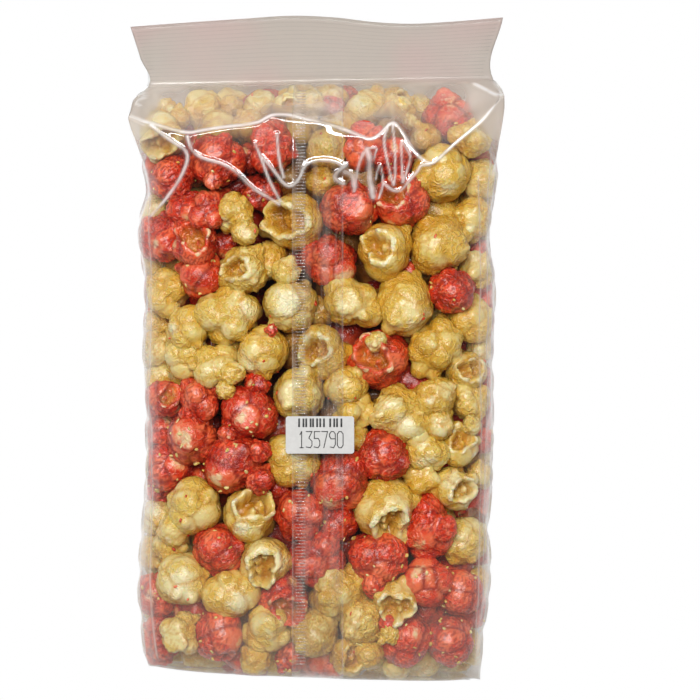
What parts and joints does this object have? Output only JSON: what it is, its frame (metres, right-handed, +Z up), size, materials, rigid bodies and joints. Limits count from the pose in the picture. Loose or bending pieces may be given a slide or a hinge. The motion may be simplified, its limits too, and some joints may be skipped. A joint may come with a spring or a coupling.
{
  "type": "clear bag of glazed popcorn",
  "caption": "Clear gusseted film bag filled with red and golden glazed popcorn, with a crimped header, a back seam and a small date label, lying on its back.",
  "frame": {"origin": "middle of the footprint, on the surface that the bag lies on", "axes": "+X across the bag, +Y along it to the crimped header, +Z up through the seam side"},
  "size_m": [0.125, 0.222, 0.0592],
  "materials": {
    "bag_film": "clear glossy film over glazed popcorn",
    "label_paper": "matt off-white paper",
    "gold_glaze": "glossy golden glaze on pale popcorn",
    "red_glaze": "glossy red glaze on pale popcorn"
  },
  "bodies": {
    "root": {"bag": "bag_film", "date_label": "label_paper"}
  },
  "joints": []
}
